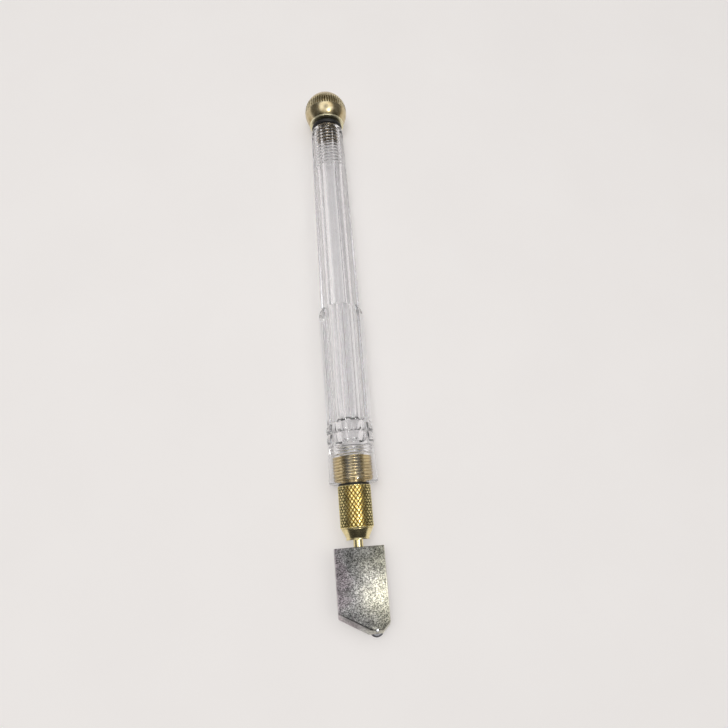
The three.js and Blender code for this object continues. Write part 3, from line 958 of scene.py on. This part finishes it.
def head():
    obj = head_blank()
    slot = block("slot", *WHEEL_SLOT)
    pocket = turned("pocket", [(0, SHANK_FRONT - 0.1), (POCKET_R, SHANK_FRONT - 0.1),
                               (POCKET_R, HEAD_TOP - 0.25), (POCKET_MOUTH_R, HEAD_TOP + 0.1),
                               (POCKET_MOUTH_R, HEAD_TOP + 1), (0, HEAD_TOP + 1)], 48, closed=False)
    hole = [(0, -4), (AXLE_HOLE_R, -4), (AXLE_HOLE_R, 4), (0, 4)]
    pin_hole = new_object("pin_hole", upright("pin_hole", hole, WHEEL_X, WHEEL_STATION))
    route = [at(x, station) for x, station in OIL_WAY]
    channel = new_object("channel", tube_along("channel", route, OIL_WAY_R * MM, 20))
    carve(obj, [slot, pocket, pin_hole, channel], 28)
    dress(obj, PLATED, "cutter_head", "plated_zinc", "cutter_head")
    # faces square to Z, such as the two broad sides, keep the first material and the rest has the second;
    # the first is the darker one, painted shade on the broad sides
    obj.data.materials.append(PLATED_EDGE)
    for face in obj.data.polygons:
        face.material_index = int(abs(face.normal.z) < 0.99)


def axle():
    low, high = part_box("wheel_axle")
    half = (high.z - low.z) / 2 / MM
    pin = rounded([(0, -half), (AXLE_R, -half), (AXLE_R, half), (0, half)], 0.12, 4, closed=False)
    obj = new_object("axle_pin", upright("axle_pin", pin, WHEEL_X, WHEEL_STATION, 40))
    dress(obj, STEEL, "cutter_head", "steel", "wheel_axle")


def wheel():
    upper = [(WHEEL_R - 0.02, 0.02), (WHEEL_HUB_R + 0.06, WHEEL_HALF - 0.05), (WHEEL_HUB_R, WHEEL_HALF),
             (WHEEL_BORE_R + 0.1, WHEEL_HALF), (WHEEL_BORE_R, WHEEL_HALF - 0.1)]
    lower = [(r, -height) for r, height in reversed(upper)]
    disc = lower + [(WHEEL_R, 0)] + upper
    obj = new_object("scoring_wheel", upright("scoring_wheel", disc, WHEEL_X, WHEEL_STATION, 96), 20)
    dress(obj, CARBIDE, "cutting_wheel", "carbide", "cutting_wheel")


# ---------- stage ----------
def floor():
    """A pale table with a weak glow of its own, which evens the light round the clear barrel."""
    bm = bmesh.new()
    bmesh.ops.create_grid(bm, x_segments=8, y_segments=8, size=2.0)
    mesh = bpy.data.meshes.new("table")
    bm.to_mesh(mesh)
    bm.free()
    obj = bpy.data.objects.new("table", mesh)
    bpy.context.scene.collection.objects.link(obj)
    obj.location.z = cad_box[0].z
    mat, nodes, links, bsdf = new_material("table_top")
    grain = noise(nodes, links, 30, 3.0)
    links.new(ramp(nodes, links, grain, [(0.3, (0.67, 0.647, 0.628)), (0.7, (0.69, 0.667, 0.648))]),
              bsdf.inputs["Base Color"])
    bsdf.inputs["Emission Color"].default_value = (0.32, 0.305, 0.297, 1)
    bsdf.inputs["Emission Strength"].default_value = 1.0
    bsdf.inputs["Roughness"].default_value = 0.75
    bsdf.inputs["Specular IOR Level"].default_value = 0.2
    obj.data.materials.append(mat)


# The room's brightness by height, from the horizon and all below it (0) to straight up (1). A bright
# ring lies round the point overhead.
ROOM_BY_HEIGHT = [(0.0, (0.36, 0.355, 0.35)), (0.1, 0.24), (0.3, 0.15), (0.7, 0.17), (0.78, 0.45),
                  (0.86, 1.45), (0.965, 1.6), (0.983, (0.62, 0.62, 0.63)), (1.0, (0.42, 0.42, 0.44))]
# Its share of that, from the direction of the wheel's end (0) to that of the ball's end (1).
ROOM_BY_LENGTH = [(0.2, 0.3), (0.46, 1.0)]


def lamp(name, place, target, size, power, colour):
    data = bpy.data.lights.new(name, "AREA")
    data.energy = power
    data.color = colour
    data.shape = "DISK"
    data.size = size
    obj = bpy.data.objects.new(name, data)
    bpy.context.scene.collection.objects.link(obj)
    obj.location = place
    obj.rotation_euler = (Vector(target) - Vector(place)).to_track_quat("-Z", "Y").to_euler()
    return obj


def room():
    world = bpy.data.worlds.new("room")
    bpy.context.scene.world = world
    world.use_nodes = True
    nodes, links = world.node_tree.nodes, world.node_tree.links
    place = nodes.new("ShaderNodeTexCoord")
    split = nodes.new("ShaderNodeSeparateXYZ")
    links.new(place.outputs["Generated"], split.inputs["Vector"])
    height = ramp(nodes, links, split.outputs["Z"], ROOM_BY_HEIGHT)
    across = nodes.new("ShaderNodeMapRange")
    across.inputs["From Min"].default_value = -1
    links.new(split.outputs["Y"], across.inputs["Value"])
    length = ramp(nodes, links, across.outputs["Result"], ROOM_BY_LENGTH)
    links.new(times(nodes, links, height, length), nodes["Background"].inputs["Color"])
    nodes["Background"].inputs["Strength"].default_value = 1.0


def lamps():
    """The key is hidden from diffuse rays, and the table lamp from glossy and transmission rays."""
    key = lamp("key", (0.165, -0.135, 0.62), (0, -0.03, 0), size=0.09, power=0.9, colour=(1.0, 0.985, 0.94))
    key.visible_diffuse = False
    table = lamp("table_lamp", (-0.08, 0.0, 0.65), (0, 0, 0), size=0.2, power=1.0, colour=(1.0, 1.0, 1.0))
    table.visible_glossy = False
    table.visible_transmission = False


# The camera stands 0.174 m above the tool's axis and looks steeply down, towards the ball's end.
EYE = Vector((-0.01018, TIP + 0.02392, AXIS_Z + 0.17424))
YAW, PITCH, ROLL = math.radians(16.96), math.radians(72.5), math.radians(12.85)
SENSOR, LENS = 36, 29.67033


def camera():
    ahead = Vector((math.sin(YAW) * math.cos(PITCH), math.cos(YAW) * math.cos(PITCH), -math.sin(PITCH)))
    level = Vector((math.cos(YAW), -math.sin(YAW), 0))
    upward = level.cross(ahead)
    right = math.cos(ROLL) * level + math.sin(ROLL) * upward
    up = math.cos(ROLL) * upward - math.sin(ROLL) * level
    data = bpy.data.cameras.new("camera")
    data.sensor_width = SENSOR
    data.lens = LENS
    data.clip_start = 0.01
    obj = bpy.data.objects.new("camera", data)
    bpy.context.scene.collection.objects.link(obj)
    obj.matrix_world = Matrix.Translation(EYE) @ Matrix((right, up, -ahead)).transposed().to_4x4()
    bpy.context.scene.camera = obj


camera()
barrel()
end_cap()
o_ring()
holder()
plain_ring("front_gasket", "holder_gasket", GASKET_INNER_R, GASKET_OUTER_R, "holder_gasket", edge=0.1)
retaining_screw()
valve()
wick()
shank()
head()
axle()
wheel()
floor()
room()
lamps()

scene = bpy.context.scene
scene.view_settings.view_transform = "Standard"
scene.cycles.use_denoising = True
scene.cycles.max_bounces = 24
scene.cycles.transmission_bounces = 20
scene.cycles.glossy_bounces = 8
